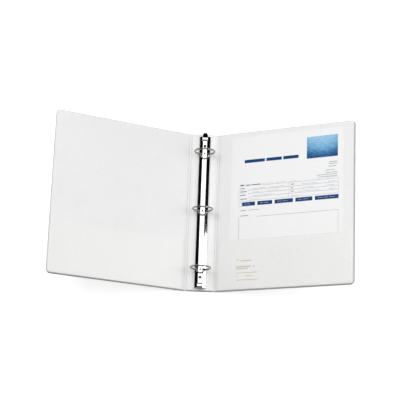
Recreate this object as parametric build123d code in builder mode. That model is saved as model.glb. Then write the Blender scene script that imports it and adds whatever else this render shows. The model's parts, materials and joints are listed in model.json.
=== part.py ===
from build123d import *
import math
import os

# White vinyl three-ring binder, inside up, resting on its spine with both covers raised.
# X runs across the binder (front cover at -X, back cover at +X), Y along the spine
# towards the top edge, Z up. The origin is the centre of the spine's underside.
# All dimensions are in millimetres and degrees.

# ---- case ----
height = 294.6             # along the spine
cover_width = 265.8        # hinge axis to outer edge
cover_angle = 27.0         # covers above horizontal at rest
hinge_x = 26.5             # hinge axis to spine centre
vinyl = 0.4                # one vinyl sheet
board = 2.2                # chipboard chamber between the sheets
rim = 1.8                  # welded border outside the board
spine_half = 24.0          # half width of the stiff part of the spine
cover_start = 3.0          # hinge axis to the stiff part of a cover
inner_rim = 0.6            # weld beside the hinge
corner_r = 8.0             # outer corners of the covers
play = 0.03                # play round each board in its chamber

# ---- pockets and insert ----
pocket_height = 92.8
pocket_film = 0.3
pocket_gap = 0.3
pocket_in = 5.0            # hinge axis to the pocket's inner side
pocket_out = 264.2         # hinge axis to the pocket's outer side
pocket_weld = 2.0
sheet_w, sheet_h, sheet_t = 215.9, 279.4, 0.15
sheet_u = 28.5             # hinge axis to the sheet's near edge
sheet_low = -142.3         # the sheet's lower edge along Y

# ---- ring mechanism; heights are above the spine lining ----
arch_half = 10.0
arch_shoulder = 4.6
arch_crown = 7.6
arch_metal = 0.8
arch_len = 282.0
arch_lip = 8.0             # lips turned in below the plates reach in to here
ring_pitch = 107.95
ring_r = 17.85             # to the wire's centre line
wire_r = 1.65
ring_z = 22.0
tip_gap = 0.1              # each ring tip stops this far from the centre plane
slot_in, slot_w, slot_low = 4.3, 4.8, 3.7
pivot_x, pivot_z = 8.5, 3.0
bead = 0.55                # rounded outer edge of a prong plate
plate_w, plate_t, plate_len = 8.2, 0.9, 264.0
plate_tilt = 5.0           # the inner edges hang below the pivots while the rings are shut
stub_x, stub_r = 5.6, 1.2  # ring wire's turned-down end, staked in the prong plate
rivet_y, rivet_r, rivet_head = 122.5, 2.3, 5.0
lever_y, lever_z = 134.2, 3.4
lever_w, lever_t = 9.0, 1.2
lever_tip = 145.8
lever_tail, lever_shoulder = 4.0, 1.8
lever_bead, pin_r = 1.7, 0.9

os.makedirs("parts", exist_ok=True)

panel = board + 2 * vinyl
base = panel               # top of the spine lining above the underside
half = height / 2
ca, sa = math.cos(math.radians(cover_angle)), math.sin(math.radians(cover_angle))

# Planes lying in each raised cover through its hinge axis. Local x runs out from
# the hinge and local z out of the inner face. Local y is +Y on the back cover and
# -Y on the front cover.
back_plane = Plane(origin=(hinge_x, 0, vinyl), x_dir=(ca, 0, sa), z_dir=(-sa, 0, ca))
front_plane = Plane(origin=(-hinge_x, 0, vinyl), x_dir=(-ca, 0, sa), z_dir=(sa, 0, ca))

cover_len = cover_width - cover_start
cover_mid = (cover_width + cover_start) / 2
chamber_in = cover_start + inner_rim
chamber_out = cover_width - rim
chamber_mid = (chamber_in + chamber_out) / 2
chamber_len = chamber_out - chamber_in

# ------------------------------------------------------------- back cover
# outer vinyl: a shallow tray, open towards the lining, that holds the board
with BuildPart() as back_outer_vinyl:
    with BuildSketch(back_plane.offset(-vinyl)) as s:
        with Locations((cover_mid, 0)):
            Rectangle(cover_len, height)
        fillet(s.vertices().group_by(Axis.X)[-1], corner_r)
    extrude(amount=vinyl + board)
    with BuildSketch(back_plane) as s:
        with Locations((chamber_mid, 0)):
            Rectangle(chamber_len, height - 2 * rim)
        fillet(s.vertices().group_by(Axis.X)[-1], corner_r - rim)
    extrude(amount=board, mode=Mode.SUBTRACT)
back_outer_vinyl.part.label = "back_outer_vinyl"
export_step(back_outer_vinyl.part, "parts/back_outer_vinyl.step")

with BuildPart() as back_board:
    with BuildSketch(back_plane.offset(play)) as s:
        with Locations((chamber_mid, 0)):
            Rectangle(chamber_len - 2 * play, height - 2 * rim - 2 * play)
        fillet(s.vertices().group_by(Axis.X)[-1], corner_r - rim)
    extrude(amount=board - 2 * play)
back_board.part.label = "back_board"
export_step(back_board.part, "parts/back_board.step")

with BuildPart() as back_inner_lining:
    with BuildSketch(back_plane.offset(board)) as s:
        with Locations((cover_mid, 0)):
            Rectangle(cover_len, height)
        fillet(s.vertices().group_by(Axis.X)[-1], corner_r)
    extrude(amount=vinyl)
back_inner_lining.part.label = "back_inner_lining"
export_step(back_inner_lining.part, "parts/back_inner_lining.step")

# inside pocket: a film welded on three sides and open towards the top edge
pocket_mid = (pocket_in + pocket_out) / 2
pocket_len = pocket_out - pocket_in
pocket_low = -half + 1.0
with BuildPart() as back_inside_pocket:
    with BuildSketch(back_plane.offset(board + vinyl)) as s:
        with Locations((pocket_mid, pocket_low + pocket_height / 2)):
            Rectangle(pocket_len, pocket_height)
        fillet(s.vertices().group_by(Axis.Y)[0].sort_by(Axis.X)[-1], corner_r - 1.5)
    extrude(amount=pocket_gap + pocket_film)
    with BuildSketch(back_plane.offset(board + vinyl)) as s:
        with Locations((pocket_mid, pocket_low + pocket_weld + pocket_height / 2)):
            Rectangle(pocket_len - 2 * pocket_weld, pocket_height)
        fillet(s.vertices().group_by(Axis.Y)[0].sort_by(Axis.X)[-1], corner_r - 3.0)
    extrude(amount=pocket_gap, mode=Mode.SUBTRACT)
back_inside_pocket.part.label = "back_inside_pocket"
export_step(back_inside_pocket.part, "parts/back_inside_pocket.step")

with BuildPart() as insert_sheet:
    with BuildSketch(back_plane.offset(board + vinyl + 0.05)):
        with Locations((sheet_u + sheet_w / 2, sheet_low + sheet_h / 2)):
            Rectangle(sheet_w, sheet_h)
    extrude(amount=sheet_t)
insert_sheet.part.label = "insert_sheet"
export_step(insert_sheet.part, "parts/insert_sheet.step")

# ------------------------------------------------------------- front cover
with BuildPart() as front_outer_vinyl:
    with BuildSketch(front_plane.offset(-vinyl)) as s:
        with Locations((cover_mid, 0)):
            Rectangle(cover_len, height)
        fillet(s.vertices().group_by(Axis.X)[-1], corner_r)
    extrude(amount=vinyl + board)
    with BuildSketch(front_plane) as s:
        with Locations((chamber_mid, 0)):
            Rectangle(chamber_len, height - 2 * rim)
        fillet(s.vertices().group_by(Axis.X)[-1], corner_r - rim)
    extrude(amount=board, mode=Mode.SUBTRACT)
front_outer_vinyl.part.label = "front_outer_vinyl"
export_step(front_outer_vinyl.part, "parts/front_outer_vinyl.step")

with BuildPart() as front_board:
    with BuildSketch(front_plane.offset(play)) as s:
        with Locations((chamber_mid, 0)):
            Rectangle(chamber_len - 2 * play, height - 2 * rim - 2 * play)
        fillet(s.vertices().group_by(Axis.X)[-1], corner_r - rim)
    extrude(amount=board - 2 * play)
front_board.part.label = "front_board"
export_step(front_board.part, "parts/front_board.step")

with BuildPart() as front_inner_lining:
    with BuildSketch(front_plane.offset(board)) as s:
        with Locations((cover_mid, 0)):
            Rectangle(cover_len, height)
        fillet(s.vertices().group_by(Axis.X)[-1], corner_r)
    extrude(amount=vinyl)
front_inner_lining.part.label = "front_inner_lining"
export_step(front_inner_lining.part, "parts/front_inner_lining.step")

with BuildPart() as front_inside_pocket:
    with BuildSketch(front_plane.offset(board + vinyl)) as s:
        with Locations((pocket_mid, -pocket_low - pocket_height / 2)):
            Rectangle(pocket_len, pocket_height)
        fillet(s.vertices().group_by(Axis.Y)[-1].sort_by(Axis.X)[-1], corner_r - 1.5)
    extrude(amount=pocket_gap + pocket_film)
    with BuildSketch(front_plane.offset(board + vinyl)) as s:
        with Locations((pocket_mid, -pocket_low - pocket_weld - pocket_height / 2)):
            Rectangle(pocket_len - 2 * pocket_weld, pocket_height)
        fillet(s.vertices().group_by(Axis.Y)[-1].sort_by(Axis.X)[-1], corner_r - 3.0)
    extrude(amount=pocket_gap, mode=Mode.SUBTRACT)
front_inside_pocket.part.label = "front_inside_pocket"
export_step(front_inside_pocket.part, "parts/front_inside_pocket.step")

# ------------------------------------------------------------- spine
rivet_spots = [(0, rivet_y), (0, -rivet_y)]
with BuildPart() as spine_outer_vinyl:
    with BuildSketch(Plane.XY):
        Rectangle(2 * spine_half, height)
    extrude(amount=vinyl + board)
    with BuildSketch(Plane.XY.offset(vinyl)):
        Rectangle(2 * (spine_half - inner_rim), height - 2 * rim)
    extrude(amount=board, mode=Mode.SUBTRACT)
    with BuildSketch(Plane.XY):
        with Locations(*rivet_spots):
            Circle(rivet_head + 0.1)
    extrude(amount=vinyl, mode=Mode.SUBTRACT)
spine_outer_vinyl.part.label = "spine_outer_vinyl"
export_step(spine_outer_vinyl.part, "parts/spine_outer_vinyl.step")

with BuildPart() as spine_board:
    with BuildSketch(Plane.XY.offset(vinyl + play)):
        Rectangle(2 * (spine_half - inner_rim - play), height - 2 * rim - 2 * play)
    extrude(amount=board - 2 * play)
    # the rivet heads are pulled into the board
    with BuildSketch(Plane.XY.offset(vinyl)):
        with Locations(*rivet_spots):
            Circle(rivet_head + 0.1)
    extrude(amount=0.5, mode=Mode.SUBTRACT)
    with BuildSketch(Plane.XY.offset(vinyl)):
        with Locations(*rivet_spots):
            Circle(rivet_r + 0.1)
    extrude(amount=board, mode=Mode.SUBTRACT)
spine_board.part.label = "spine_board"
export_step(spine_board.part, "parts/spine_board.step")

with BuildPart() as spine_inner_lining:
    with BuildSketch(Plane.XY.offset(vinyl + board)):
        Rectangle(2 * spine_half, height)
        with Locations(*rivet_spots):
            Circle(rivet_r + 0.1, mode=Mode.SUBTRACT)
    extrude(amount=vinyl)
spine_inner_lining.part.label = "spine_inner_lining"
export_step(spine_inner_lining.part, "parts/spine_inner_lining.step")

# ------------------------------------------------------------- hinge strips
# the two vinyl sheets welded together, bent round from the spine to the cover
bend_in = hinge_x - spine_half
bend_r = bend_in / math.tan(math.radians(cover_angle / 2))
strip_out = cover_start
with BuildPart() as back_hinge_strip:
    with BuildSketch(Plane.XZ):
        with BuildLine():
            a = CenterArc((spine_half, vinyl + bend_r), bend_r + vinyl, -90, cover_angle)
            b = CenterArc((spine_half, vinyl + bend_r), bend_r - vinyl, -90, cover_angle)
            c = Line(a @ 1, (hinge_x + strip_out * ca + vinyl * sa, vinyl + strip_out * sa - vinyl * ca))
            d = Line(b @ 1, (hinge_x + strip_out * ca - vinyl * sa, vinyl + strip_out * sa + vinyl * ca))
            Line(c @ 1, d @ 1)
            Line(a @ 0, b @ 0)
        make_face()
    extrude(amount=half, both=True)
back_hinge_strip.part.label = "back_hinge_strip"
export_step(back_hinge_strip.part, "parts/back_hinge_strip.step")

with BuildPart() as front_hinge_strip:
    add(back_hinge_strip.part)
    mirror(about=Plane.YZ, mode=Mode.REPLACE)
front_hinge_strip.part.label = "front_hinge_strip"
export_step(front_hinge_strip.part, "parts/front_hinge_strip.step")

# ------------------------------------------------------------- arched plate
with BuildPart() as arched_plate:
    with BuildSketch(Plane.XZ) as s:
        with BuildLine():
            Line((-arch_half, base), (-arch_half, base + arch_shoulder))
            ThreePointArc(
                (-arch_half, base + arch_shoulder),
                (0, base + arch_crown),
                (arch_half, base + arch_shoulder),
            )
            Line((arch_half, base + arch_shoulder), (arch_half, base))
            Line((arch_half, base), (-arch_half, base))
        make_face()
        fillet(s.vertices().group_by(Axis.Y)[-1], 0.5)
        fillet(s.vertices().group_by(Axis.Y)[0], 1.0)
        offset(amount=-arch_metal, kind=Kind.INTERSECTION, mode=Mode.SUBTRACT)
        with Locations((0, base)):
            Rectangle(2 * arch_lip, 2 * arch_metal + 0.6, mode=Mode.SUBTRACT)
    extrude(amount=arch_len / 2, both=True)
    # slots in the shoulders for the ring wires
    with BuildSketch(Plane.XY.offset(base + slot_low)):
        for y in (-ring_pitch, 0, ring_pitch):
            for x in (-1, 1):
                with Locations((x * (slot_in + 5.0), y)):
                    Rectangle(10.0, slot_w)
    extrude(amount=8.0, mode=Mode.SUBTRACT)
    # notches in the ends for the levers
    with BuildSketch(Plane.XY.offset(base + arch_metal + 0.4)):
        for y in (-1, 1):
            with Locations((0, y * (lever_y - 1.6 + 10.0))):
                Rectangle(lever_w + 1.2, 20.0)
    extrude(amount=10.0, mode=Mode.SUBTRACT)
    # rivet holes, and the small pierced holes between the rings' feet
    with BuildSketch(Plane.XY.offset(base)):
        with Locations(*rivet_spots):
            Circle(rivet_r + 0.1)
        with Locations((0, -ring_pitch), (0, 0), (0, ring_pitch)):
            Circle(1.7)
    extrude(amount=10.0, mode=Mode.SUBTRACT)
    # holes for the lever pins
    with BuildSketch(Plane.YZ):
        with Locations((lever_y, base + lever_z), (-lever_y, base + lever_z)):
            Circle(pin_r + 0.02)
    extrude(amount=12.0, both=True, mode=Mode.SUBTRACT)
arched_plate.part.label = "arched_plate"
export_step(arched_plate.part, "parts/arched_plate.step")

# ------------------------------------------------------------- prong plates
ct, st = math.cos(math.radians(plate_tilt)), math.sin(math.radians(plate_tilt))
left_tilt = Plane(origin=(-pivot_x, 0, base + pivot_z), x_dir=(ct, 0, -st), z_dir=(st, 0, ct))
with BuildPart() as left_prong_plate:
    with BuildSketch(left_tilt.offset(-plate_t / 2)):
        with Locations((plate_w / 2, 0)):
            Rectangle(plate_w, plate_len)
    extrude(amount=plate_t)
    with BuildSketch(Plane.XZ):
        with Locations((-pivot_x, base + pivot_z)):
            Circle(bead)
    extrude(amount=plate_len / 2, both=True)
    # room round the rivets, and holes that the ring stubs are staked in
    with BuildSketch(Plane.XY.offset(base)):
        with Locations(*rivet_spots):
            Circle(rivet_r + 0.9)
        with Locations((-stub_x, -ring_pitch), (-stub_x, 0), (-stub_x, ring_pitch)):
            Circle(stub_r + 0.01)
    extrude(amount=10.0, mode=Mode.SUBTRACT)
left_prong_plate.part.label = "left_prong_plate"
export_step(left_prong_plate.part, "parts/left_prong_plate.step")

with BuildPart() as right_prong_plate:
    add(left_prong_plate.part)
    mirror(about=Plane.YZ, mode=Mode.REPLACE)
right_prong_plate.part.label = "right_prong_plate"
export_step(right_prong_plate.part, "parts/right_prong_plate.step")

# ------------------------------------------------------------- ring halves
# each half runs from its tip at the top, down the outside and in through the
# arch's slot, where its turned-down end is staked in the prong plate
zc = base + ring_z
foot_angle = math.degrees(math.asin(stub_x / ring_r))
foot_z = zc - math.sqrt(ring_r**2 - stub_x**2)
sweep_angle = 180 - foot_angle
stub_bottom = base + pivot_z - 1.1
for name, y in (("top", ring_pitch), ("middle", 0.0), ("bottom", -ring_pitch)):
    with BuildPart() as left_ring_half:
        with BuildSketch(Plane(origin=(0, y, zc), x_dir=(0, 1, 0), z_dir=(1, 0, 0))):
            with Locations((0, ring_r)):
                Circle(wire_r)
        revolve(axis=Axis((0, y, zc), (0, -1, 0)), revolution_arc=sweep_angle)
        with Locations((-stub_x, y, foot_z)):
            Sphere(wire_r)
        with BuildSketch(Plane.XY.offset(stub_bottom)):
            with Locations((-stub_x, y)):
                Circle(stub_r)
        extrude(amount=foot_z - stub_bottom)
        split(bisect_by=Plane.YZ.offset(-tip_gap), keep=Keep.BOTTOM)
        # nose that seats in the other half's tip
        with BuildSketch(Plane.YZ.offset(-tip_gap)):
            with Locations((y, zc + ring_r)):
                Circle(0.95)
        extrude(amount=0.9, taper=25)
    left_ring_half.part.label = f"left_ring_half_{name}"
    export_step(left_ring_half.part, f"parts/left_ring_half_{name}.step")

    with BuildPart() as right_ring_half:
        with BuildSketch(Plane(origin=(0, y, zc), x_dir=(0, 1, 0), z_dir=(1, 0, 0))):
            with Locations((0, ring_r)):
                Circle(wire_r)
        revolve(axis=Axis((0, y, zc), (0, 1, 0)), revolution_arc=sweep_angle)
        with Locations((stub_x, y, foot_z)):
            Sphere(wire_r)
        with BuildSketch(Plane.XY.offset(stub_bottom)):
            with Locations((stub_x, y)):
                Circle(stub_r)
        extrude(amount=foot_z - stub_bottom)
        split(bisect_by=Plane.YZ.offset(tip_gap), keep=Keep.TOP)
        # socket for the nose
        with BuildSketch(Plane.YZ.offset(-tip_gap)):
            with Locations((y, zc + ring_r)):
                Circle(1.1)
        extrude(amount=1.1, taper=24, mode=Mode.SUBTRACT)
    right_ring_half.part.label = f"right_ring_half_{name}"
    export_step(right_ring_half.part, f"parts/right_ring_half_{name}.step")

# ------------------------------------------------------------- levers
# a bent tongue: tail under the prong plates' ends, deck level with the arch in
# the end notch, and a raised finger tab
ly, lz = lever_y, base + lever_z
with BuildPart() as top_lever:
    with BuildSketch(Plane.YZ):
        with BuildLine():
            FilletPolyline(
                (ly - 4.8, lz - 2.55),
                (ly - 1.0, lz - 2.4),
                (ly + 0.5, lz + 3.95),
                (ly + 4.6, lz + 4.9),
                (ly + 12.4, lz + 10.9),
                radius=1.1,
            )
        trace(line_width=lever_t)
    extrude(amount=lever_w / 2, both=True)
    # plan shape: narrow tail, full-width deck and tab with a rounded end
    with BuildSketch(Plane.XY.offset(base)) as s:
        with Locations((0, (lever_tip + ly - lever_shoulder) / 2)):
            Rectangle(lever_w, lever_tip - ly + lever_shoulder)
        fillet(s.vertices().group_by(Axis.Y)[-1], 3.4)
        with Locations((0, ly - lever_shoulder - 4.0)):
            Rectangle(lever_tail, 8.0 + 0.2)
    extrude(amount=30.0, mode=Mode.INTERSECT)
    with BuildSketch(Plane.YZ):
        with Locations((ly, lz)):
            Circle(lever_bead)
    extrude(amount=6.4, both=True)
    with BuildSketch(Plane.YZ):
        with Locations((ly, lz)):
            Circle(pin_r + 0.03)
    extrude(amount=12.0, both=True, mode=Mode.SUBTRACT)
top_lever.part.label = "top_lever"
export_step(top_lever.part, "parts/top_lever.step")

with BuildPart() as bottom_lever:
    add(top_lever.part)
    mirror(about=Plane.XZ, mode=Mode.REPLACE)
bottom_lever.part.label = "bottom_lever"
export_step(bottom_lever.part, "parts/bottom_lever.step")

with BuildPart() as lever_pivot_pins:
    with BuildSketch(Plane.YZ):
        with Locations((lever_y, base + lever_z), (-lever_y, base + lever_z)):
            Circle(pin_r)
    extrude(amount=arch_half + 0.1, both=True)
lever_pivot_pins.part.label = "lever_pivot_pins"
export_step(lever_pivot_pins.part, "parts/lever_pivot_pins.step")

# ------------------------------------------------------------- rivets
with BuildPart() as mounting_rivets:
    with BuildSketch(Plane.XY.offset(0.03)):
        with Locations(*rivet_spots):
            Circle(rivet_head)
    extrude(amount=0.75)
    with BuildSketch(Plane.XY.offset(0.7)):
        with Locations(*rivet_spots):
            Circle(rivet_r)
    extrude(amount=base + arch_crown - 0.6)
    with BuildSketch(Plane.XY.offset(base + arch_crown + 0.01)):
        with Locations(*rivet_spots):
            Circle(rivet_r + 0.7)
    extrude(amount=0.45)
    fillet(mounting_rivets.edges().group_by(Axis.Z)[-1], 0.3)
    with BuildSketch(Plane.XY.offset(base + arch_crown - 2.5)):
        with Locations(*rivet_spots):
            Circle(1.4)
    extrude(amount=4.0, mode=Mode.SUBTRACT)
mounting_rivets.part.label = "mounting_rivets"
export_step(mounting_rivets.part, "parts/mounting_rivets.step")
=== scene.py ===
import json
import math

import bpy
import numpy as np
from mathutils import Matrix, Vector


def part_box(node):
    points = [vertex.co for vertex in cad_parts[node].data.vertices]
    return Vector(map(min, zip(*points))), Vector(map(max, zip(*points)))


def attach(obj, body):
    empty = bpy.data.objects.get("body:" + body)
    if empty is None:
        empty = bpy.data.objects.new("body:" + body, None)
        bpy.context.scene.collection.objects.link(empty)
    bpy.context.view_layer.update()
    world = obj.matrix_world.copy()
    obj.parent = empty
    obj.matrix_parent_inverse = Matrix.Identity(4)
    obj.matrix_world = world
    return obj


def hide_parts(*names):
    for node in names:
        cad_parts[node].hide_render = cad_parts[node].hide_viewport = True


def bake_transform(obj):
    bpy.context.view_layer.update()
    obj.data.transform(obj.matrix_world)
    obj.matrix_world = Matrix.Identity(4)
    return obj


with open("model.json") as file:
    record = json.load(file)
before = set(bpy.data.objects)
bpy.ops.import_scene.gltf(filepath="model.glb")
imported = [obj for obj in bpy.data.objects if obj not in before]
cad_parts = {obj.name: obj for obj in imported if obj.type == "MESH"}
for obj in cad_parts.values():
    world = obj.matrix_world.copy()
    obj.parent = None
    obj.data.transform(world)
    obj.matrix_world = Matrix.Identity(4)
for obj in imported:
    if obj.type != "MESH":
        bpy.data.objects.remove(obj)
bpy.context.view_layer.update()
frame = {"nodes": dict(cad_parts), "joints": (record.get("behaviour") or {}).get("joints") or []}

MM = 0.001
scene = bpy.context.scene
NODES = frame["nodes"]

# ------------------------------------------------------------------ measures
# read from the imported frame: hinge axes, cover angle, panel levels
JOINTS = {j["name"]: j for j in frame["joints"]}
HX, _, HZ = JOINTS["back_cover_hinge"]["pos_m"]
THETA = math.radians(-JOINTS["back_cover_hinge"]["range_deg"][0])
CA, SA = math.cos(THETA), math.sin(THETA)
LO_S, HI_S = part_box("spine_inner_lining")
TOP = HI_S.z                       # inner face of the spine
HALF_L = HI_S.y                    # half of the binder's height
SPINE = HI_S.x                     # half of the spine's stiff width
V_IN = TOP - HZ                    # inner face above the hinge line
V_OUT = -HZ                        # outer face
COVER_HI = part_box("back_outer_vinyl")[1]
W = (COVER_HI.x - HX + V_OUT * SA) / CA    # hinge axis to outer edge
FILM = 0.00035                     # one vinyl sheet
U0 = 0.0030                        # hinge axis to the cover's stiff part
CORNER = 0.008


# ------------------------------------------------------------------ camera
# optical axis through the spine, seen from above the bottom edge
def make_camera():
    e, dist, f, roll = math.radians(75.773), 2.35949, 1297.83, math.radians(2.166)
    px, py = 2.477, -11.793        # where the spine's centre falls, in picture steps
    right = Vector((1, 0, 0))
    up = Vector((0, math.sin(e), math.cos(e)))
    fwd = Vector((0, math.cos(e), -math.sin(e)))
    cr, sr = math.cos(roll), math.sin(roll)
    r2 = right * cr + up * sr
    u2 = up * cr - right * sr
    pos = Vector((0, 0, TOP)) - fwd * dist
    f2 = (fwd - (r2 * px + u2 * py) / f).normalized()
    r3 = (r2 - f2 * r2.dot(f2)).normalized()
    u3 = r3.cross(f2)
    cam = bpy.data.cameras.new("camera")
    cam.sensor_width = 36.0
    cam.lens = 36.0 * f / 400.0
    cam.clip_start, cam.clip_end = 0.05, 50.0
    ob = bpy.data.objects.new("camera", cam)
    m = Matrix((r3, u3, -f2)).transposed().to_4x4()
    m.translation = pos
    ob.matrix_world = m
    scene.collection.objects.link(ob)
    scene.camera = ob


make_camera()


# ------------------------------------------------------------------ node helpers
class Tree:
    def __init__(self, tree):
        self.t = tree
        self.n = tree.nodes
        self.l = tree.links

    def add(self, kind, **props):
        node = self.n.new(kind)
        for k, v in props.items():
            setattr(node, k, v)
        return node

    def put(self, node, name, value):
        sock = node.inputs[name]
        if hasattr(value, "links") and hasattr(value, "is_output"):
            self.l.new(value, sock)
        else:
            sock.default_value = value
        return node

    def noise(self, vec, scale, detail=3.0, rough=0.5, dist=0.0):
        n = self.add("ShaderNodeTexNoise")
        self.l.new(vec, n.inputs["Vector"])
        n.inputs["Scale"].default_value = scale
        n.inputs["Detail"].default_value = detail
        n.inputs["Roughness"].default_value = rough
        n.inputs["Distortion"].default_value = dist
        return n.outputs["Fac"]

    def voronoi(self, vec, scale, feature="F1"):
        n = self.add("ShaderNodeTexVoronoi", feature=feature)
        self.l.new(vec, n.inputs["Vector"])
        n.inputs["Scale"].default_value = scale
        return n.outputs["Distance"]

    def math(self, op, a, b=None, clamp=False):
        n = self.add("ShaderNodeMath", operation=op, use_clamp=clamp)
        self.put(n, 0, a)
        if b is not None:
            self.put(n, 1, b)
        return n.outputs[0]

    def ramp(self, fac, stops):
        n = self.add("ShaderNodeValToRGB")
        self.l.new(fac, n.inputs[0])
        while len(n.color_ramp.elements) > 1:
            n.color_ramp.elements.remove(n.color_ramp.elements[-1])
        n.color_ramp.elements[0].position = stops[0][0]
        n.color_ramp.elements[0].color = col(stops[0][1])
        for p, c in stops[1:]:
            el = n.color_ramp.elements.new(p)
            el.color = col(c)
        return n.outputs["Color"]

    def mix(self, fac, a, b, blend="MIX"):
        n = self.add("ShaderNodeMix", data_type="RGBA", blend_type=blend)
        self.put(n, 0, fac)
        ia, ib = [s for s in n.inputs if s.name in ("A", "B") and s.type == "RGBA"]
        for s, v in ((ia, a), (ib, b)):
            if hasattr(v, "is_output"):
                self.l.new(v, s)
            else:
                s.default_value = col(v)
        return [o for o in n.outputs if o.type == "RGBA"][0]

    def maprange(self, v, a, b, c, d, clamp=True):
        n = self.add("ShaderNodeMapRange", clamp=clamp)
        self.l.new(v, n.inputs["Value"])
        for k, x in zip(("From Min", "From Max", "To Min", "To Max"), (a, b, c, d)):
            n.inputs[k].default_value = x
        return n.outputs["Result"]

    def bump(self, height, strength, distance, normal=None):
        n = self.add("ShaderNodeBump")
        n.inputs["Strength"].default_value = strength
        n.inputs["Distance"].default_value = distance
        self.l.new(height, n.inputs["Height"])
        if normal is not None:
            self.l.new(normal, n.inputs["Normal"])
        return n.outputs["Normal"]


def col(c):
    if isinstance(c, (int, float)):
        return (c, c, c, 1.0)
    return (c[0], c[1], c[2], 1.0)


def srgb(r, g, b):
    def f(v):
        v = v / 255.0
        return v / 12.92 if v <= 0.04045 else ((v + 0.055) / 1.055) ** 2.4
    return (f(r), f(g), f(b))


def material(name):
    m = bpy.data.materials.new(name)
    m.use_nodes = True
    t = Tree(m.node_tree)
    bsdf = [n for n in t.n if n.type == "BSDF_PRINCIPLED"][0]
    coord = t.add("ShaderNodeTexCoord").outputs["Object"]
    return m, t, bsdf, coord


def vinyl_material(name, base, rough, grain, tint=0.022, film=False):
    """Calendered vinyl: pebble grain, slow mottling, greyer where it is welded."""
    m, t, b, co = material(name)
    big = t.noise(co, 14.0, 2.0, 0.5)
    mid = t.noise(co, 150.0, 3.0, 0.6)
    tone = t.math("ADD", t.math("MULTIPLY", big, 0.35), t.math("MULTIPLY", mid, 0.65))
    dark = tuple(v * (1 - tint) for v in base)
    light = tuple(min(1.0, v * (1 + tint)) for v in base)
    c = t.ramp(tone, [(0.3, dark), (0.7, light)])
    press = t.add("ShaderNodeAttribute", attribute_name="press").outputs["Fac"]
    speck = t.maprange(t.noise(co, 420.0, 3.0, 0.6), 0.35, 0.75, 0.75, 1.0)
    c = t.mix(t.math("MULTIPLY", press, speck), c, tuple(v * w for v, w in zip(base, PRESSED)))
    # painted shade: darkens the vinyl's colour on the bottom and back-outer rims
    scuff = t.add("ShaderNodeAttribute", attribute_name="scuff").outputs["Fac"]
    c = t.mix(t.math("MULTIPLY", scuff, speck), c, tuple(v * w for v, w in zip(base, RIM_SHADE_TINT)))
    t.l.new(c, b.inputs["Base Color"])
    r = t.maprange(mid, 0.3, 0.7, rough - 0.05, rough + 0.06)
    r = t.math("SUBTRACT", r, t.math("MULTIPLY", press, 0.08))
    t.l.new(r, b.inputs["Roughness"])
    b.inputs["Specular IOR Level"].default_value = 0.42
    cells = t.voronoi(co, 820.0)
    fine = t.noise(co, 1900.0, 3.0, 0.65)
    h = t.math("ADD", t.math("MULTIPLY", cells, 0.7), t.math("MULTIPLY", fine, 0.5))
    n1 = t.bump(t.noise(co, 150.0, 3.0, 0.55), 0.5, 0.0005)
    n1 = t.bump(t.noise(co, 30.0, 2.0, 0.5), 0.35, 0.0012, n1)
    n2 = t.bump(h, grain, 0.0003, n1)
    t.l.new(n2, b.inputs["Normal"])
    if film:
        b.inputs["Coat Weight"].default_value = 0.15
        b.inputs["Coat Roughness"].default_value = 0.25
    return m


def metal_material(name, base, rough, brush=0.0, wear=0.15, axis=1):
    m, t, b, co = material(name)
    b.inputs["Metallic"].default_value = 1.0
    smear = t.noise(co, 120.0, 4.0, 0.6)
    c = t.ramp(smear, [(0.3, tuple(v * 0.93 for v in base)), (0.7, base)])
    t.l.new(c, b.inputs["Base Color"])
    mp = t.add("ShaderNodeMapping")
    sc = [1.0, 1.0, 1.0]
    sc[axis] = 0.03
    mp.inputs["Scale"].default_value = sc
    t.l.new(co, mp.inputs["Vector"])
    streak = t.noise(mp.outputs["Vector"], 2200.0, 2.0, 0.6)
    r = t.math("ADD", t.maprange(smear, 0.3, 0.75, rough * 0.8, rough * (1 + wear)),
               t.math("MULTIPLY", streak, brush))
    t.l.new(r, b.inputs["Roughness"])
    t.l.new(t.bump(streak, 0.04 + brush, 0.00002), b.inputs["Normal"])
    return m


def board_material(name):
    m, t, b, co = material(name)
    f = t.noise(co, 900.0, 5.0, 0.7)
    g = t.noise(co, 60.0, 3.0, 0.5)
    k = t.math("ADD", t.math("MULTIPLY", f, 0.7), t.math("MULTIPLY", g, 0.3))
    t.l.new(t.ramp(k, [(0.3, srgb(120, 110, 98)), (0.7, srgb(160, 148, 132))]), b.inputs["Base Color"])
    b.inputs["Roughness"].default_value = 0.92
    t.l.new(t.bump(f, 0.4, 0.0001), b.inputs["Normal"])
    return m


def print_material(name, c0, c1, rough=0.55, scale=700.0):
    """Ink or paper: fibre mottling between two close tones."""
    m, t, b, co = material(name)
    f = t.noise(co, scale, 4.0, 0.65)
    t.l.new(t.ramp(f, [(0.3, c0), (0.7, c1)]), b.inputs["Base Color"])
    t.l.new(t.maprange(f, 0.3, 0.7, rough - 0.04, rough + 0.05), b.inputs["Roughness"])
    t.l.new(t.bump(f, 0.08, 0.00004), b.inputs["Normal"])
    b.inputs["Specular IOR Level"].default_value = 0.3
    return m


PRESSED = (0.80, 0.80, 0.81)
# colour factor of the painted shade on the bottom and back-outer rims
RIM_SHADE_TINT = (0.42, 0.42, 0.43)

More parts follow.
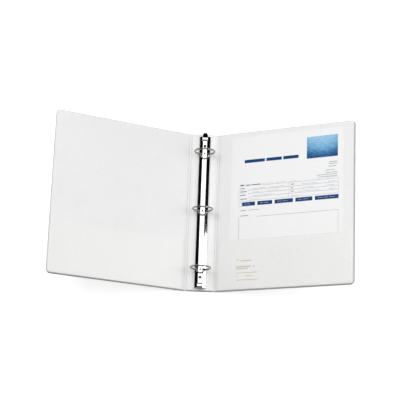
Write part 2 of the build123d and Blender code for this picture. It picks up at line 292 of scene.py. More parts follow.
MAT = {
    "vinyl": vinyl_material("binder_vinyl", (0.80, 0.80, 0.80), 0.46, 0.5),
    "vinyl_out": vinyl_material("binder_vinyl_outside", (0.80, 0.80, 0.80), 0.36, 0.4),
    "pocket": vinyl_material("pocket_film", (0.815, 0.815, 0.80), 0.38, 0.4, 0.018, True),
    "chrome": metal_material("chrome_plate", (0.86, 0.86, 0.87), 0.05, 0.02),
    "lever": metal_material("lever_chrome", (0.80, 0.80, 0.80), 0.08, 0.02),
    "wire": metal_material("ring_wire", (0.42, 0.39, 0.36), 0.10, 0.0, 0.3),
    "rivet": metal_material("rivet_steel", (0.16, 0.15, 0.14), 0.26, 0.05),
    "plate": metal_material("plated_steel", (0.34, 0.34, 0.35), 0.34, 0.1),
    "board": board_material("chipboard"),
    "paper": print_material("sheet_paper", (0.825, 0.825, 0.83), (0.85, 0.85, 0.855), 0.62),
    "navy": print_material("ink_navy", srgb(0, 52, 102), srgb(4, 68, 124), 0.6),
    "grey": print_material("ink_grey", srgb(118, 122, 132), srgb(140, 144, 152), 0.55),
    "pale": print_material("ink_pale", srgb(164, 168, 178), srgb(182, 186, 194), 0.55),
    "tan": print_material("ink_tan", srgb(182, 166, 130), srgb(198, 184, 148), 0.55),
    "white": print_material("ink_white_box", (0.86, 0.86, 0.86), (0.9, 0.9, 0.9), 0.55),
}


def picture_material():
    """A plain blue picture: pale in the middle of the sky, deeper water below and in the corners."""
    m, t, b, co = material("printed_picture")
    sep = t.add("ShaderNodeSeparateXYZ")
    t.l.new(co, sep.inputs[0])
    y = t.maprange(sep.outputs["Y"], 0.084, 0.124, 0.0, 1.0)
    dx = t.math("DIVIDE", t.math("SUBTRACT", sep.outputs["X"], 0.2075), 0.030)
    dy = t.math("DIVIDE", t.math("SUBTRACT", sep.outputs["Y"], 0.112), 0.026)
    rr = t.math("ADD", t.math("MULTIPLY", dx, dx), t.math("MULTIPLY", dy, dy))
    glow = t.math("SUBTRACT", 0.34, t.math("MULTIPLY", rr, 0.22))
    mp = t.add("ShaderNodeMapping")
    mp.inputs["Scale"].default_value = (0.28, 1.0, 0.28)
    t.l.new(co, mp.inputs["Vector"])
    wob = t.math("ADD", t.math("MULTIPLY", t.noise(co, 170.0, 4.0, 0.6), 0.4),
                 t.math("MULTIPLY", t.noise(mp.outputs["Vector"], 420.0, 3.0, 0.6), 0.6))
    k = t.math("ADD", t.math("MULTIPLY", y, 0.55), t.math("ADD", glow, t.math("MULTIPLY", t.math("SUBTRACT", wob, 0.5), 0.75)), clamp=True)
    c = t.ramp(k, [(0.0, srgb(16, 48, 108)), (0.28, srgb(44, 106, 158)), (0.55, srgb(108, 166, 206)), (1.0, srgb(176, 216, 236))])
    t.l.new(c, b.inputs["Base Color"])
    b.inputs["Roughness"].default_value = 0.45
    t.l.new(t.bump(wob, 0.05, 0.00004), b.inputs["Normal"])
    return m


MAT["picture"] = picture_material()


# ------------------------------------------------------------------ mesh helpers
def build(name, verts, faces, mats, index=None, angle=35.0, smooth=True):
    me = bpy.data.meshes.new(name)
    me.from_pydata([tuple(v) for v in verts], [], faces)
    me.validate()
    ob = bpy.data.objects.new(name, me)
    scene.collection.objects.link(ob)
    for m in (mats if isinstance(mats, (list, tuple)) else [mats]):
        me.materials.append(m)
    if index is not None:
        me.polygons.foreach_set("material_index", index)
    if smooth:
        me.polygons.foreach_set("use_smooth", [True] * len(me.polygons))
        me.set_sharp_from_angle(angle=math.radians(angle))
    me.update()
    return ob


def outward(ob):
    import bmesh
    bm = bmesh.new()
    bm.from_mesh(ob.data)
    bmesh.ops.recalc_face_normals(bm, faces=bm.faces)
    bm.to_mesh(ob.data)
    bm.free()
    ob.data.update()


BEND_IN = HX - SPINE
BEND_R = BEND_IN / math.tan(THETA / 2)
ARC = BEND_R * THETA
S_HINGE = SPINE + ARC - BEND_IN          # arc length at the hinge axis
S_MAX = SPINE + ARC + (W - BEND_IN)      # arc length from spine centre to outer edge


def base_line(s):
    """Point and normal of the case's base line at arc length s from the spine's centre."""
    s = np.asarray(s, float)
    a = np.clip((s - SPINE) / BEND_R, 0.0, THETA)
    over = np.maximum(s - SPINE - ARC, 0.0)
    x = np.minimum(s, SPINE) + BEND_R * np.sin(a) + over * CA
    z = HZ + BEND_R * (1 - np.cos(a)) + over * SA
    return x, z, -np.sin(a), np.cos(a)


def place(side, s, y, off):
    x, z, nx, nz = base_line(s)
    return np.stack([side * (x + nx * off), y, z + nz * off], -1)


def smooth01(t):
    t = np.clip(t, 0, 1)
    return t * t * (3 - 2 * t)


# ------------------------------------------------------------------ the vinyl case
# Two vinyl sheets welded together along the hinges and round the edge; the inner
# one rises over the boards. Heights are above the weld plane, along the base line.
FLANGE = 0.55 * MM
ROLL = 3.0 * MM
STEP_SPINE = SPINE                 # the spine board's side
STEP_COVER = S_HINGE + U0          # the cover board's side
STIFF = V_IN


def board_lift(s):
    """0 in the hinge's weld, 1 on the spine and cover panels."""
    a = 1 - smooth01((s - (STEP_SPINE - 0.00055)) / 0.00105)
    b = smooth01((s - (STEP_COVER - 0.0006)) / 0.0012)
    return a + b


def edge_lift(d):
    """0 on the welded flange at the edge, 1 on the flat, round between."""
    t = np.clip((ROLL - d) / (ROLL - FLANGE), 0, 1)
    return np.sqrt(np.maximum(1 - t * t, 0.0)) * (d > FLANGE * 0.999)


def ripple(s, y, side):
    """Slow waves of a soft sheet, never above the flat."""
    w = (np.sin(s * 61 + y * 17 + side) + np.sin(y * 43 - s * 23 + 2.1 * side)
         + np.sin(s * 97 + y * 71 + 0.7) * 0.6)
    return -0.00005 * (1.0 + w / 2.6)


def dents(s, y, side):
    """Shallow pressed marks where the rings have lain against the cover, and weld lines."""
    out = np.zeros_like(s)
    for yy in (0.10795, 0.0, -0.10795):
        out -= 0.00016 * np.exp(-((s - 0.0365) / 0.0035) ** 2 - ((y - yy) / 0.0022) ** 2)
    lines = (0.0212,) if side > 0 else (0.0206, 0.0223)
    for q in lines:
        out -= 0.00013 * np.exp(-((s - q) / 0.00042) ** 2)
    return out


def inner_top(s, y, d, side):
    """Top of the inner sheet above the weld plane."""
    lift = board_lift(s)
    h = FILM + (STIFF - FILM) * lift * edge_lift(d)
    flat = lift * smooth01((d - ROLL) / 0.004)
    return h + flat * (ripple(s, y, side) + dents(s, y, side))


def outer_low(s, y, d, side):
    """Underside of the outer sheet: flat, with pressed weld lines and a drawn-in flange."""
    h = np.full_like(s, V_OUT)
    for q in (STEP_SPINE + 0.0006, STEP_COVER - 0.0006):
        h += 0.00012 * np.exp(-((s - q) / 0.0005) ** 2)
    h += 0.00007 * np.exp(-((d - 0.0016) / 0.0006) ** 2)
    return h


NEAR = [0, 0.00012, 0.0004, 0.00053, 0.00057, 0.00064, 0.00078, 0.0010, 0.0013, 0.0017,
        0.0021, 0.0025, 0.0030, 0.0037, 0.0046, 0.0057, 0.0068, 0.0080]


def fill(a, b, step):
    n = max(1, int(round((b - a) / step)))
    return list(np.linspace(a, b, n + 1)[1:-1])


def y_lines():
    low = [-HALF_L + v for v in NEAR]
    mid = fill(-HALF_L + NEAR[-1], HALF_L - NEAR[-1], 0.0055)
    extra = []
    for yy in (0.10795, 0.0, -0.10795):
        extra += [yy - 0.0033, yy - 0.0022, yy - 0.0011, yy, yy + 0.0011, yy + 0.0022, yy + 0.0033]
    mid = [m for m in mid if min(abs(m - x) for x in extra) > 0.0012] + extra
    return np.array(sorted(low + mid + [-v for v in low]))


def s_lines():
    vals = list(np.arange(0, 0.0185, 0.003)) + [0.0196, 0.0200]
    vals += list(np.arange(0.0203, 0.0232, 0.00023))
    vals += list(np.arange(STEP_SPINE - 0.0006, STEP_SPINE + 0.0007, 0.00013))
    vals += fill(STEP_SPINE + 0.0007, STEP_COVER - 0.0007, 0.00034)
    vals += list(np.arange(STEP_COVER - 0.0007, STEP_COVER + 0.0008, 0.00014))
    vals += [STEP_COVER + 0.0013, STEP_COVER + 0.0022, STEP_COVER + 0.0034, STEP_COVER + 0.0045,
             0.0350, 0.0362, 0.0374, 0.0388, 0.0404, 0.0425, 0.0455]
    vals += fill(0.0455, S_MAX - NEAR[-1], 0.0055)
    vals += [S_MAX - v for v in NEAR]
    vals = sorted(vals)
    out = [vals[0]]
    for v in vals[1:]:
        if v - out[-1] > 0.00006:
            out.append(v)
    out[-1] = S_MAX
    return np.array(out)


def round_corner(s, y):
    """Bend the square grid round the cover's outer corners. Returns s, y and distance to the edge."""
    s = s.copy()
    y = y.copy()
    a = (s - (S_MAX - CORNER)) / CORNER
    b = (np.abs(y) - (HALF_L - CORNER)) / CORNER
    d = np.minimum(S_MAX - s, HALF_L - np.abs(y))
    m = (a > 0) & (b > 0)
    am, bm = np.clip(a[m], 0, 1), np.clip(b[m], 0, 1)
    rho = np.maximum(am, bm)
    phi = np.where(am >= bm, math.pi / 4 * bm / np.maximum(am, 1e-9),
                   math.pi / 2 - math.pi / 4 * am / np.maximum(bm, 1e-9))
    s[m] = S_MAX - CORNER + CORNER * rho * np.cos(phi)
    y[m] = np.sign(y[m]) * (HALF_L - CORNER + CORNER * rho * np.sin(phi))
    d[m] = CORNER * (1 - rho)
    return s, y, d


def shell(name, top, low, mats, flip=False, idx=None, angle=40.0, hole=None):
    """A closed thin shell from two grids of points of the same shape."""
    ns, ny = top.shape[:2]
    verts = np.concatenate([top.reshape(-1, 3), low.reshape(-1, 3)])
    off = ns * ny
    faces, mi = [], []

    def vid(i, j):
        return i * ny + j

    keep = np.ones((ns - 1, ny - 1), bool) if hole is None else ~hole
    for i in range(ns - 1):
        for j in range(ny - 1):
            if not keep[i, j]:
                continue
            q = (vid(i, j), vid(i + 1, j), vid(i + 1, j + 1), vid(i, j + 1))
            faces.append(q)
            faces.append(tuple(off + v for v in reversed(q)))
            k = 0 if idx is None else int(idx[i, j])
            mi += [k, 0]
            for (p, r, ok) in ((q[0], q[1], j == 0 or not keep[i, j - 1]),
                               (q[1], q[2], i == ns - 2 or not keep[i + 1, j]),
                               (q[2], q[3], j == ny - 2 or not keep[i, j + 1]),
                               (q[3], q[0], i == 0 or not keep[i - 1, j])):
                if ok:
                    faces.append((r, p, off + p, off + r))
                    mi.append(0)
    ob = build(name, verts, faces, mats, mi, angle)
    outward(ob)
    ob.data.set_sharp_from_angle(angle=math.radians(angle))
    return ob


SL, YL = s_lines(), y_lines()


def mark(ob, top_values, low_values=None, name="press"):
    """Per-vertex amount of welding or of painted rim shade, read by the vinyl's material."""
    low_values = np.zeros_like(top_values) if low_values is None else low_values
    v = np.concatenate([top_values.ravel(), low_values.ravel()]).astype(np.float32)
    at = ob.data.attributes.new(name, "FLOAT", "POINT")
    at.data.foreach_set("value", v)


def painted_rim_shade(s, y, side):
    """Painted shade on the rims: strong along the bottom edge and the back cover's outer edge, which face away from
    the lamps, faint on the front cover's outer edge and the top edge.
    """
    low = np.clip(1 - ((y + HALF_L) - 0.0014) / 0.0016, 0, 1) * 0.75
    out = np.clip(1 - ((S_MAX - s) - 0.0016) / 0.0016, 0, 1) * (1.0 if side > 0 else 0.12)
    high = np.clip(1 - ((HALF_L - y) - 0.0008) / 0.0012, 0, 1) * 0.08
    return np.maximum(np.maximum(low, out), high)


def weld_amount(s, d, side):
    """1 on the flange and the hinge's weld lines."""
    w = np.clip(1 - (d - 0.0009) / 0.0009, 0, 1)
    for q, k in ((STEP_SPINE + 0.0005, 0.9), (STEP_COVER - 0.0005, 0.9)):
        w = np.maximum(w, k * np.exp(-((s - q) / 0.0007) ** 2))
    for q in ((0.0212,) if side > 0 else (0.0206, 0.0223)):
        w = np.maximum(w, 0.45 * np.exp(-((s - q) / 0.0005) ** 2))
    return w


def case_grids(side):
    s, y = np.meshgrid(SL, YL, indexing="ij")
    s, y, d = round_corner(s, y)
    # the sheets' cut edges are slightly rounded
    lip = np.clip(1 - d / 0.00012, 0, 1) * 0.00008
    it = place(side, s, y, inner_top(s, y, d, side) - lip)
    il = place(side, s, y, np.maximum(inner_top(s, y, d, side) - FILM, 0.0))
    ot = place(side, s, y, np.zeros_like(s))
    ol = place(side, s, y, outer_low(s, y, d, side) + lip)
    return it, il, ot, ol, weld_amount(s, d, side), painted_rim_shade(s, y, side)


RLO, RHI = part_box("mounting_rivets")
RIVETS = (RHI.y - 0.005, RLO.y + 0.005)


def pierce(ob, spots, radius):
    """Round openings through a thin shell lying on the XY plane."""
    import bmesh
    for x, y in spots:
        bm = bmesh.new()
        bmesh.ops.create_cone(bm, cap_ends=True, segments=56, radius1=radius, radius2=radius, depth=0.004,
                              matrix=Matrix.Translation((x, y, 0)))
        me = bpy.data.meshes.new("cutter")
        bm.to_mesh(me)
        bm.free()
        cut = bpy.data.objects.new("cutter", me)
        scene.collection.objects.link(cut)
        mod = ob.modifiers.new("cut", "BOOLEAN")
        mod.operation, mod.solver, mod.object = "DIFFERENCE", "EXACT", cut
        bpy.context.view_layer.update()
        dg = bpy.context.evaluated_depsgraph_get()
        new = bpy.data.meshes.new_from_object(ob.evaluated_get(dg))
        ob.modifiers.clear()
        old = ob.data
        ob.data = new
        bpy.data.meshes.remove(old)
        bpy.data.objects.remove(cut)


for side, who in ((-1, "front"), (1, "back")):
    it, il, ot, ol, welded, shaded_rims = case_grids(side)
    inner = shell(f"{who}_case_lining", it, il, MAT["vinyl"])
    mark(inner, welded)
    # painted shade on the lining's bottom and back-outer rims
    mark(inner, shaded_rims, shaded_rims, "scuff")
    outer = shell(f"{who}_case_cover", ot, ol, MAT["vinyl_out"])
    pierce(outer, [(0, y) for y in RIVETS], 0.0051)
    for ob in (inner, outer):
        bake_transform(ob)

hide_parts("spine_inner_lining", "back_inner_lining", "back_hinge_strip")
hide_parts("spine_outer_vinyl", "back_outer_vinyl")
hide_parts("front_inner_lining", "front_hinge_strip")
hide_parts("front_outer_vinyl")


# ------------------------------------------------------------------ boards
def board_piece(name, node, side, s0, s1, body, corner):
    """Chipboard with its cut edges pressed round, inside the sheets."""
    mid, hy = (s0 + s1) / 2, HALF_L - 0.0030
    ss = sorted(set([s0, s0 + 0.0004, s0 + 0.001, s0 + 0.002] + fill(s0 + 0.002, s1 - 0.0022, 0.02)
                    + [s1 - 0.0022, s1 - 0.0013, s1 - 0.0006, s1]))
    yy = sorted([-hy, -hy + 0.0006, -hy + 0.0013, -hy + 0.0022] + fill(-hy + 0.0022, hy - 0.0022, 0.02)
                + [hy - 0.0022, hy - 0.0013, hy - 0.0006, hy])
    s, y = np.meshgrid(np.array(ss), np.array(yy), indexing="ij")
    s2, y2, d2 = s.copy(), y.copy(), np.minimum(s1 - s, hy - np.abs(y))
    if corner > 0:
        a = (s - (s1 - corner)) / corner
        b = (np.abs(y) - (hy - corner)) / corner
        m = (a > 0) & (b > 0)
        am, bm = np.clip(a[m], 0, 1), np.clip(b[m], 0, 1)
        rho = np.maximum(am, bm)
        phi = np.where(am >= bm, math.pi / 4 * bm / np.maximum(am, 1e-9),
                       math.pi / 2 - math.pi / 4 * am / np.maximum(bm, 1e-9))
        s2[m] = s1 - corner + corner * rho * np.cos(phi)
        y2[m] = np.sign(y[m]) * (hy - corner + corner * rho * np.sin(phi))
        d2[m] = corner * (1 - rho)
    else:
        d2 = np.minimum(d2, 1.0) if side else np.minimum(np.minimum(s1 - s, s - s0), hy - np.abs(y))
    crown = np.sqrt(np.clip(1 - np.clip((0.0022 - d2) / 0.0024, 0, 1) ** 2, 0, 1))
    top = 0.00004 + (STIFF - FILM - 0.00014) * (0.35 + 0.65 * crown)
    low = 0.00004 + 0.0003 * (1 - crown)
    if side:
        t, l = place(side, s2, y2, top), place(side, s2, y2, low)
    else:
        t = np.stack([s2, y2, HZ + top], -1)
        l = np.stack([s2, y2, HZ + low], -1)
    ob = shell(name, t, l, MAT["board"])
    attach(ob, body)
    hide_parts(node)
    return ob


for side, who in ((-1, "front"), (1, "back")):
    board_piece(f"{who}_cover_board", f"{who}_board", side, STEP_COVER + 0.0008, S_MAX - 0.0030, f"{who}_cover", 0.005)
board_piece("spine_stiffener", "spine_board", 0, -SPINE + 0.0011, SPINE - 0.0011, "spine", 0)


# ------------------------------------------------------------------ pockets
def cells(lines, rects, axis):
    vals = list(lines)
    for r in rects:
        vals += [r[0] * MM, r[1] * MM] if axis == 0 else [r[2] * MM, r[3] * MM]
    vals = sorted(vals)
    fixed = set(round(v, 7) for r in rects for v in ((r[0] * MM, r[1] * MM) if axis == 0 else (r[2] * MM, r[3] * MM)))
    out = []
    for v in vals:
        if out and v - out[-1] < 0.00012:
            if round(v, 7) in fixed:
                out[-1] = v
            continue
        out.append(v)
    return np.array(out)


PLO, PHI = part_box("back_inside_pocket")
POCKET_TOP = PHI.y                 # the pockets' open edge
POCKET_U = 0.0046                  # hinge axis to the pocket's inner weld
PFILM = 0.00026


def pocket_piece(name, node, side, body, rects=()):
    s0 = S_HINGE + POCKET_U
    edge = [v for v in NEAR if v >= 0.0004]
    ss = [s0 + v for v in (0, 0.0001, 0.0009, 0.0018, 0.0022, 0.0027, 0.0034, 0.0043, 0.0055, 0.007)]
    ss += [S_HINGE + v for v in (0.0118, 0.0127, 0.0136, 0.0150)]
    ss += fill(S_HINGE + 0.0150, S_MAX - 0.008, 0.0052) + [S_MAX - v for v in edge]
    yy = [-HALF_L + v for v in edge] + fill(-HALF_L + 0.008, POCKET_TOP - 0.006, 0.0045)
    yy += [POCKET_TOP - v for v in (0.006, 0.0045, 0.0032, 0.0022, 0.0015, 0.0011, 0.0008, 0.0005, 0.0002, 0.0)]
    shifted = [(r[0] + S_HINGE / MM, r[1] + S_HINGE / MM, r[2], r[3], r[4]) for r in rects]
    ss, yy = cells(sorted(ss), shifted, 0), cells(sorted(yy), shifted, 1)
    s, y = np.meshgrid(ss, yy, indexing="ij")
    sc, yc = (s[1:, 1:] + s[:-1, :-1]) / 2, (y[1:, 1:] + y[:-1, :-1]) / 2
    idx = np.zeros(sc.shape, int)
    for r in shifted:
        idx[(sc > r[0] * MM) & (sc < r[1] * MM) & (yc > r[2] * MM) & (yc < r[3] * MM)] = r[4]
    s, y, d = round_corner(s, y)
    # distance in from the three welded sides
    weld = np.minimum(np.minimum(s - s0, d), 1.0)
    under = inner_top(s, y, d, side)
    rise = smooth01((weld - 0.0021) / 0.0042)
    span = np.clip((s - s0) / (S_MAX - s0), 0, 1)
    mouth = np.sin(math.pi * span) ** 0.8 * smooth01((y - (POCKET_TOP - 0.055)) / 0.055)
    slack = 0.00008 * (1 + np.sin(s * 55 + y * 31 + side)) * rise
    gap = 0.00036 * rise + 0.00045 * mouth * rise + slack
    # the weld's pressed line
    press = 0.00007 * np.exp(-((weld - 0.0016) / 0.0004) ** 2)
    bead = 0.00022 * np.exp(-((POCKET_TOP - 0.0007 - y) / 0.0005) ** 2)
    low = under + gap + 0.00001
    top = under + gap + PFILM - press + bead
    wave = 0.0004 * np.sin(s * 27 + 0.6) * smooth01((y - (POCKET_TOP - 0.02)) / 0.02)
    ob = shell(name, place(side, s, y + wave, top), place(side, s, y + wave, low),
               [MAT["pocket"], MAT["tan"]], idx=idx, angle=50)
    mark(ob, np.maximum(0.8 * np.exp(-((weld - 0.0016) / 0.0006) ** 2), np.clip(1 - (d - 0.0009) / 0.0009, 0, 1)))
    # painted shade on the pocket film's bottom and outer rims
    mark(ob, painted_rim_shade(s, y, side), name="scuff")
    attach(ob, body)
    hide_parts(node)
    return ob


# plain rules where the pocket carries its foil-stamped lines
STAMP = [(43.5, 49.0, -92.2, -91.0, 1), (51.0, 73.0, -94.2, -93.0, 1), (43.0, 71.0, -105.0, -103.4, 1),
         (75.5, 79.5, -104.7, -103.6, 1), (43.0, 66.0, -108.3, -107.0, 1), (44.0, 85.0, -115.9, -115.1, 1),
         (63.0, 76.0, -121.4, -120.6, 1), (44.5, 47.5, -121.4, -120.6, 1), (45.0, 85.5, -128.8, -128.0, 1)]
pocket_piece("front_pocket_film", "front_inside_pocket", -1, "front_cover")
pocket_piece("back_pocket_film", "back_inside_pocket", 1, "back_cover", STAMP)


# ------------------------------------------------------------------ insert sheet
SHEET_U0, SHEET_W, SHEET_H = 28.5, 215.9, 279.4
SHEET_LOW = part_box("insert_sheet")[0].y / MM
PAPER, NAVY, GREY, PALE, PICT, WHITE = range(6)
FORM = [
    # title bars
    (54.0, 94.0, 87.5, 93.5, NAVY), (97.0, 127.0, 87.5, 93.5, NAVY), (130.0, 159.5, 87.5, 93.5, NAVY),
    # picture
    (175.3, 234.0, 84.0, 124.0, PICT),
    # address block
    (218.0, 233.5, 73.8, 74.8, GREY), (217.0, 233.5, 70.3, 71.3, GREY), (216.5, 231.0, 65.6, 66.6, GREY),
    (211.0, 228.5, 59.2, 60.1, GREY), (212.5, 233.5, 54.6, 55.5, GREY), (195.0, 233.5, 51.2, 52.1, GREY),
    (197.0, 233.5, 47.6, 48.5, GREY),
    # form heading
    (46.5, 54.0, 44.9, 47.1, NAVY), (57.0, 67.0, 44.6, 46.6, GREY), (69.0, 87.0, 44.6, 46.6, GREY),
    # ruled table
    (44.0, 44.5, 16.5, 41.5, PALE), (235.2, 235.6, 16.5, 44.0, GREY), (142.0, 142.4, 16.9, 43.8, GREY),
    (88.0, 235.2, 43.5, 44.0, GREY), (62.0, 235.2, 36.2, 36.7, GREY), (62.0, 235.2, 29.8, 30.3, GREY),
    (62.0, 235.2, 23.0, 23.5, GREY), (44.5, 235.2, 16.5, 16.9, GREY),
    (46.5, 56.0, 39.2, 40.7, GREY), (46.5, 60.0, 33.2, 34.7, GREY), (46.5, 58.0, 26.5, 28.0, GREY),
    (46.5, 60.5, 19.5, 21.0, GREY), (48.0, 54.0, 36.4, 37.2, PALE), (48.0, 57.0, 30.2, 31.0, PALE),
    (90.0, 112.0, 45.4, 46.1, PALE), (118.0, 134.0, 45.6, 46.3, PALE), (144.5, 156.0, 44.8, 45.5, PALE),
    (72.0, 96.0, 38.0, 38.7, PALE), (104.0, 132.0, 38.2, 38.9, PALE), (70.0, 84.0, 31.6, 32.3, PALE),
    (100.0, 122.0, 31.8, 32.5, PALE), (74.0, 110.0, 25.0, 25.7, PALE), (66.0, 82.0, 18.4, 19.1, PALE),
    (146.0, 151.5, 38.4, 41.0, PALE), (146.0, 150.0, 31.8, 34.4, PALE), (146.0, 151.5, 25.4, 27.8, PALE),
    (146.0, 162.0, 18.4, 19.1, PALE), (166.0, 196.0, 38.4, 39.1, PALE), (170.0, 188.0, 31.9, 32.6, PALE),
    (160.0, 200.0, 25.2, 25.9, PALE), (214.0, 232.0, 46.0, 46.6, PALE), (216.0, 230.0, 38.4, 39.1, PALE),
    (212.0, 228.0, 31.9, 32.6, PALE), (218.0, 231.0, 25.2, 25.9, PALE),
    # check-box bar
    (51.2, 236.2, 6.9, 14.0, NAVY),
    (44.4, 50.4, 6.9, 13.3, GREY), (44.9, 49.9, 7.4, 12.8, WHITE),
    (76.7, 81.3, 6.8, 14.1, WHITE), (110.2, 114.8, 6.8, 14.1, WHITE), (150.3, 154.9, 6.8, 14.1, WHITE),
    (187.2, 191.8, 6.8, 14.1, WHITE),
    (56.0, 60.0, 10.3, 11.0, PALE), (61.5, 67.0, 10.3, 11.0, PALE), (87.0, 93.0, 10.3, 11.0, PALE),
    (95.0, 103.0, 10.3, 11.0, PALE), (119.0, 128.0, 10.3, 11.0, PALE), (130.0, 140.0, 10.3, 11.0, PALE),
    (159.5, 167.0, 10.3, 11.0, PALE), (169.0, 179.0, 10.3, 11.0, PALE), (197.0, 207.0, 10.3, 11.0, PALE),
    (209.0, 217.0, 10.3, 11.0, PALE), (219.0, 229.0, 10.3, 11.0, PALE),
    # lines and open box below
    (48.5, 60.0, -1.8, -0.7, GREY), (64.0, 85.0, -1.4, -0.8, GREY), (48.0, 64.0, -11.6, -10.4, GREY),
    (80.0, 236.0, -14.0, -13.5, GREY), (45.5, 46.0, -75.0, -14.5, GREY), (235.6, 236.0, -75.0, -14.0, GREY),
    (46.0, 235.6, -75.0, -74.6, GREY),
]


def sheet_piece():
    side = 1
    base_u = S_HINGE / MM
    rects = [(r[0] + base_u, r[1] + base_u, r[2], r[3], r[4]) for r in FORM]
    s0, s1 = S_HINGE + SHEET_U0 * MM, S_HINGE + (SHEET_U0 + SHEET_W) * MM
    y0, y1 = SHEET_LOW * MM, (SHEET_LOW + SHEET_H) * MM
    ss = cells(sorted([s0, s1] + fill(s0, s1, 0.0075)), rects, 0)
    yy = cells(sorted([y0, y1] + fill(y0, y1, 0.0075)), rects, 1)
    ss[0], ss[-1], yy[0], yy[-1] = s0, s1, y0, y1
    s, y = np.meshgrid(ss, yy, indexing="ij")
    sc, yc = (s[1:, 1:] + s[:-1, :-1]) / 2, (y[1:, 1:] + y[:-1, :-1]) / 2
    idx = np.zeros(sc.shape, int)
    for r in rects:
        idx[(sc > r[0] * MM) & (sc < r[1] * MM) & (yc > r[2] * MM) & (yc < r[3] * MM)] = r[4]
    free = smooth01((y - (POCKET_TOP + 0.004)) / 0.03)
    a = (s - s0) / (s1 - s0)
    b = (y - y0) / (y1 - y0)
    lift = 0.00012 * (1 + np.sin(a * 5.2 + b * 3.0 + 0.4)) + 0.0007 * smooth01((b - 0.86) / 0.14) * smooth01((0.45 - a) / 0.45)
    lift += 0.0005 * smooth01((b - 0.8) / 0.2) * smooth01((a - 0.6) / 0.4)
    low = STIFF + 0.00003 + lift * free
    top = low + 0.00012
    ob = shell("insert_form", place(side, s, y, top), place(side, s, y, low),
               [MAT[k] for k in ("paper", "navy", "grey", "pale", "picture", "white")], idx=idx, angle=60)
    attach(ob, "insert")
    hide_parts("insert_sheet")
    return ob


sheet_piece()


# ------------------------------------------------------------------ metal parts
def dress(node, mat):
    ob = NODES[node]
    ob.data.materials.clear()
    ob.data.materials.append(mat)


dress("arched_plate", MAT["chrome"])
for k in ("left", "right"):
    dress(f"{k}_prong_plate", MAT["plate"])
    for p in ("top", "middle", "bottom"):
        dress(f"{k}_ring_half_{p}", MAT["wire"])
dress("top_lever", MAT["lever"])
dress("bottom_lever", MAT["lever"])
dress("lever_pivot_pins", MAT["plate"])


def rivet_piece():
    """Two tubular rivets: domed heads in the outer sheet, ends rolled over on the arch."""
    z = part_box("arched_plate")[1].z
    prof = [(0.0, z - 0.0026), (0.00105, z - 0.0026), (0.00125, z - 0.0022), (0.00125, z - 0.0002), (0.00135, z + 0.00022),
            (0.00160, z + 0.00048), (0.00195, z + 0.00056), (0.00230, z + 0.00048), (0.00262, z + 0.00030),
            (0.00288, z + 0.00006), (0.00288, z - 0.00004), (0.00230, z - 0.00006), (0.00230, 0.00085),
            (0.00480, 0.00078), (0.00498, 0.00066), (0.00500, 0.00040), (0.00480, 0.00018), (0.00420, 0.00008),
            (0.00250, 0.00004), (0.0, 0.00003)]
    n = 56
    verts, faces = [], []
    for y in RIVETS:
        base = len(verts)
        idx = []
        for r, h in prof:
            if r == 0:
                idx.append([len(verts)] * n)
                verts.append((0, y, h))
            else:
                idx.append([len(verts) + k for k in range(n)])
                verts += [(r * math.cos(2 * math.pi * k / n), y + r * math.sin(2 * math.pi * k / n), h) for k in range(n)]
        for a, b in zip(idx[:-1], idx[1:]):
            for k in range(n):
                q = [a[k], a[(k + 1) % n], b[(k + 1) % n], b[k]]
                q = [v for i, v in enumerate(q) if v not in q[:i]]
                faces.append(tuple(q))
    ob = build("spine_rivets", verts, faces, MAT["rivet"], angle=50)
    outward(ob)
    ob.data.set_sharp_from_angle(angle=math.radians(50))
    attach(ob, "spine")
    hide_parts("mounting_rivets")


rivet_piece()


# ------------------------------------------------------------------ stage and light
def floor():
    m, t, b, co = material("studio_floor")
    n = t.noise(co, 3.0, 3.0, 0.5)
    t.l.new(t.ramp(n, [(0.3, FLOOR_TONE), (0.7, FLOOR_TONE + 0.02)]), b.inputs["Base Color"])
    b.inputs["Roughness"].default_value = 0.9
    b.inputs["Specular IOR Level"].default_value = 0.1
    b.inputs["Emission Color"].default_value = (1, 1, 1, 1)
    lp = t.add("ShaderNodeLightPath").outputs["Is Camera Ray"]
    t.l.new(t.math("MULTIPLY", lp, FLOOR_GLOW), b.inputs["Emission Strength"])
    g = 24
    xs = np.linspace(-6, 6, g + 1)
    verts = [(x, y, -0.0004) for x in xs for y in xs]
    faces = [(i * (g + 1) + j, (i + 1) * (g + 1) + j, (i + 1) * (g + 1) + j + 1, i * (g + 1) + j + 1)
             for i in range(g) for j in range(g)]
    ob = build("studio_floor_sheet", verts, faces, m, smooth=False)


FLOOR_TONE = 0.5
FLOOR_GLOW = 0.78
floor()


PANEL, WALL, CARD = 1.85, 0.71, 3.7
REAR, FILL = 0.7, 0.10
LAMPS = [("over_left", (-0.45, 0.25, 1.05), (0.5, 0.5)), ("over_right", (0.45, 0.25, 1.05), (0.5, 0.5))]
WATTS = {"over_left": 5.3, "over_right": 0.45}


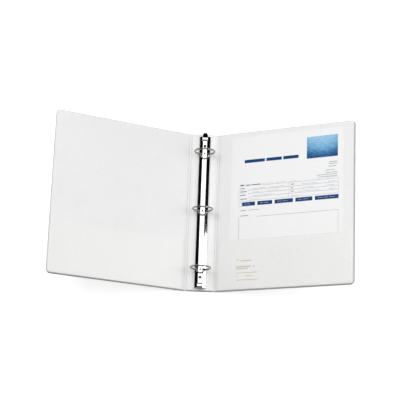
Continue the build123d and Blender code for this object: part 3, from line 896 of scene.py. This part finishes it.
def studio_world():
    """A wide white panel overhead, darker walls, a little more light from the back left."""
    w = bpy.data.worlds.new("studio")
    w.use_nodes = True
    scene.world = w
    t = Tree(w.node_tree)
    bg = [n for n in t.n if n.type == "BACKGROUND"][0]
    co = t.add("ShaderNodeTexCoord").outputs["Generated"]
    sep = t.add("ShaderNodeSeparateXYZ")
    t.l.new(co, sep.inputs[0])
    x, y, z = sep.outputs
    zc = t.math("MAXIMUM", z, 0.02)
    tx = t.math("ABSOLUTE", t.math("DIVIDE", x, zc))
    ty = t.math("DIVIDE", y, zc)
    lp = t.add("ShaderNodeLightPath")
    gloss = lp.outputs["Is Glossy Ray"]
    inx = t.maprange(t.math("ADD", tx, t.math("MULTIPLY", gloss, 0.10)), 0.50, 0.55, 1.0, 0.0)
    iny = t.math("MULTIPLY", t.maprange(ty, 0.72, 0.85, 1.0, 0.0), t.maprange(ty, -0.30, -0.20, 0.0, 1.0))
    up = t.maprange(z, 0.0, 0.05, 0.0, 1.0)
    panel = t.math("MULTIPLY", t.math("MULTIPLY", inx, iny), up)
    # walls: pale at the back and left, dark to the front and right, low down only
    side = t.maprange(t.math("SUBTRACT", t.math("MULTIPLY", y, 0.7), t.math("MULTIPLY", x, 0.7)), -0.3, 0.9, 0.0, 1.0)
    low = t.maprange(z, 0.42, 0.55, 1.0, 0.0)
    wall = t.math("MULTIPLY", t.math("MULTIPLY", side, low), t.maprange(gloss, 0.0, 1.0, 1.0, 0.35))
    # metal seen from low in front finds a pale back wall; a faint fill from all round near the floor
    ax = t.math("ABSOLUTE", x)
    rear = t.math("MULTIPLY", t.maprange(y, 0.36, 0.46, 0.0, 1.0), t.maprange(ax, 0.38, 0.52, 1.0, 0.0))
    rear = t.math("MULTIPLY", t.math("MULTIPLY", rear, gloss), t.maprange(z, 0.10, 0.30, 0.0, REAR))
    fill = t.math("MULTIPLY", t.math("MULTIPLY", up, t.maprange(z, 0.15, 0.42, FILL, 0.0)), t.math("SUBTRACT", 1.0, gloss))
    total = t.math("ADD", t.math("MULTIPLY", panel, PANEL), t.math("ADD", t.math("MULTIPLY", wall, WALL), 0.003))
    total = t.math("ADD", total, t.math("ADD", rear, fill))
    seen = t.mix(lp.outputs["Is Camera Ray"], total, (1.1, 1.1, 1.1))
    t.l.new(seen, bg.inputs["Color"])
    bg.inputs["Strength"].default_value = 1.0


studio_world()


def area(name, loc, aim, size, watts, colour=(1, 1, 1)):
    l = bpy.data.lights.new(name, "AREA")
    l.shape, l.size, l.size_y = "RECTANGLE", size[0], size[1]
    l.energy, l.color = watts, colour
    ob = bpy.data.objects.new(name, l)
    ob.location = loc
    ob.rotation_mode = "QUATERNION"
    ob.rotation_quaternion = (Vector(aim) - Vector(loc)).to_track_quat("-Z", "Y")
    scene.collection.objects.link(ob)
    return ob


area("right_card", (0.78, -0.045, 0.72), (0, -0.045, 0), (0.5, 0.6), CARD)
for name, loc, size in LAMPS:
    area(name, loc, (0, 0, 0.03), size, WATTS[name]).visible_glossy = False

scene.view_settings.view_transform = "Standard"
scene.view_settings.look = "None"
scene.view_settings.exposure = 0.0
scene.view_settings.gamma = 1.0
